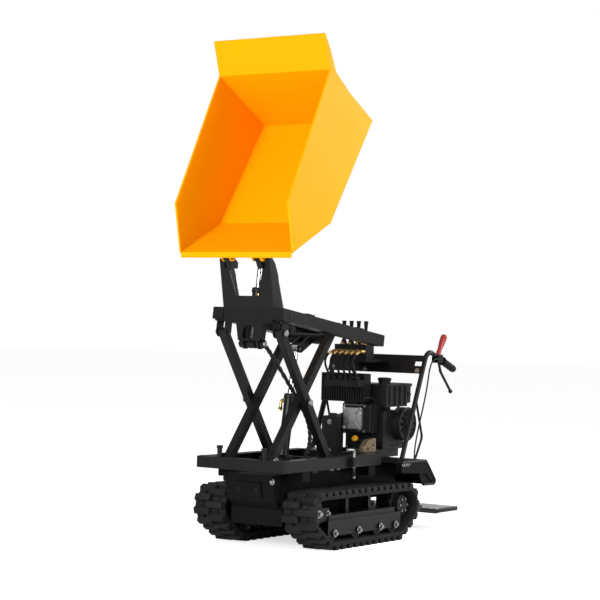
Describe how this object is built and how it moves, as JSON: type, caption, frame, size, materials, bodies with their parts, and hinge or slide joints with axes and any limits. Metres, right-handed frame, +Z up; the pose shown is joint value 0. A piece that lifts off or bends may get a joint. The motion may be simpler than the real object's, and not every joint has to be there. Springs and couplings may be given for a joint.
{
  "type": "tracked mini dumper",
  "caption": "Walk-behind tracked dumper whose scissor frame lifts a yellow skip that tips forward over hydraulic cylinders; engine, levers and footboard at the rear.",
  "frame": {"origin": "ground level below the middle of the outline, raised and tipped", "axes": "+X towards the tipping front, +Y to the machine's left, +Z up"},
  "size_m": [1.8308, 0.706, 2.4737],
  "materials": {
    "track_rubber": "matt moulded rubber",
    "black_rubber": "matt rubber",
    "yellow_paint": "satin yellow paint",
    "rod_chrome": "polished",
    "cast_metal": "cast",
    "engine_black": "satin black",
    "wheel_iron": "painted dark",
    "tread_plate": "chequer plate",
    "lever_paint": "red and black",
    "black_paint": "satin black powder coat"
  },
  "bodies": {
    "chassis": {"track_left": "track_rubber", "track_right": "track_rubber", "track_frame_left": "black_paint", "track_frame_right": "black_paint", "track_rollers": "wheel_iron", "idler_wheels": "wheel_iron", "drive_sprockets": "wheel_iron", "chassis_tub": "black_paint", "lower_beams": "black_paint", "lower_cross": "black_paint", "buffer_posts": "black_rubber", "pivot_brackets": "black_paint", "rear_deck": "black_paint", "engine_block": "cast_metal", "engine_head": "cast_metal", "fuel_tank": "engine_black", "muffler": "engine_black", "recoil_starter": "engine_black", "hydraulic_pump": "cast_metal", "valve_block": "black_paint", "valve_hoses": "black_rubber", "console_panel": "black_paint", "handlebars": "black_paint", "hand_grips": "black_rubber", "control_levers": "lever_paint", "step_arms": "black_paint", "lift_hose": "black_rubber"},
    "leg_a": {"leg_a_left": "black_paint", "leg_a_right": "black_paint", "leg_a_cross": "black_paint"},
    "leg_b": {"leg_b_left": "black_paint", "leg_b_right": "black_paint", "leg_b_axle": "black_paint"},
    "upper_frame": {"upper_beams": "black_paint", "front_plate": "black_paint", "uprights": "black_paint", "tip_bracket": "black_paint", "rest_posts": "black_paint"},
    "lift_barrel": {"lift_barrel": "black_paint"},
    "lift_rod": {"lift_rod": "rod_chrome"},
    "tip_barrel": {"tip_barrel": "black_paint"},
    "tip_rod": {"tip_rod": "rod_chrome"},
    "bucket": {"bucket_pan": "yellow_paint", "bucket_sides": "yellow_paint", "bucket_guard": "yellow_paint", "bucket_rails": "yellow_paint", "bucket_ears": "yellow_paint"},
    "footboard": {"footboard": "tread_plate"}
  },
  "joints": [
    {"name": "lift", "type": "hinge", "parent": "chassis", "child": "leg_a", "pos_m": [0.70623, 0, 0.42856], "axis": [0, -1, 0], "range_deg": [0, 46], "deforming": ["lift_hose"]},
    {"name": "scissor_cross", "type": "hinge", "parent": "leg_a", "child": "leg_b", "pos_m": [0.48156, 0, 0.706], "axis": [0, -1, 0], "range_deg": [-92.5, 0.5]},
    {"name": "scissor_top", "type": "hinge", "parent": "leg_b", "child": "upper_frame", "pos_m": [0.71558, 0, 1.04021], "axis": [0, -1, 0], "range_deg": [-0.5, 46.5]},
    {"name": "bucket_tip", "type": "hinge", "parent": "upper_frame", "child": "bucket", "pos_m": [0.79856, 0, 1.402], "axis": [0, -1, 0], "range_deg": [0, 63.5]},
    {"name": "lift_barrel_swing", "type": "hinge", "parent": "chassis", "child": "lift_barrel", "pos_m": [0.42656, 0, 0.412], "axis": [0, -1, 0], "range_deg": [-0.5, 62.79]},
    {"name": "lift_rod_slide", "type": "slide", "parent": "lift_barrel", "child": "lift_rod", "axis": [-0.1692, 0, 0.9856], "range_m": [-0.17647, 0.001]},
    {"name": "tip_barrel_swing", "type": "hinge", "parent": "upper_frame", "child": "tip_barrel", "pos_m": [0.70356, 0, 0.985], "axis": [0, -1, 0], "range_deg": [-0.5, 3.16]},
    {"name": "tip_rod_slide", "type": "slide", "parent": "tip_barrel", "child": "tip_rod", "axis": [-0.1277, 0, 0.9918], "range_m": [-0.19227, 0.001]},
    {"name": "footboard_fold", "type": "hinge", "parent": "chassis", "child": "footboard", "pos_m": [-0.65344, 0, 0.112], "axis": [0, 1, 0], "range_deg": [0, 80]}
  ],
  "couplings": [
    {"joint": "scissor_cross", "follows": "lift", "ratio": -2},
    {"joint": "scissor_top", "follows": "lift", "ratio": 1},
    {"joint": "lift_barrel_swing", "follows": "lift", "ratio": 1.3541},
    {"joint": "lift_rod_slide", "follows": "lift", "m_per_rad": -0.21856},
    {"joint": "tip_barrel_swing", "follows": "bucket_tip", "ratio": 0.041817},
    {"joint": "tip_rod_slide", "follows": "bucket_tip", "m_per_rad": -0.17258}
  ]
}
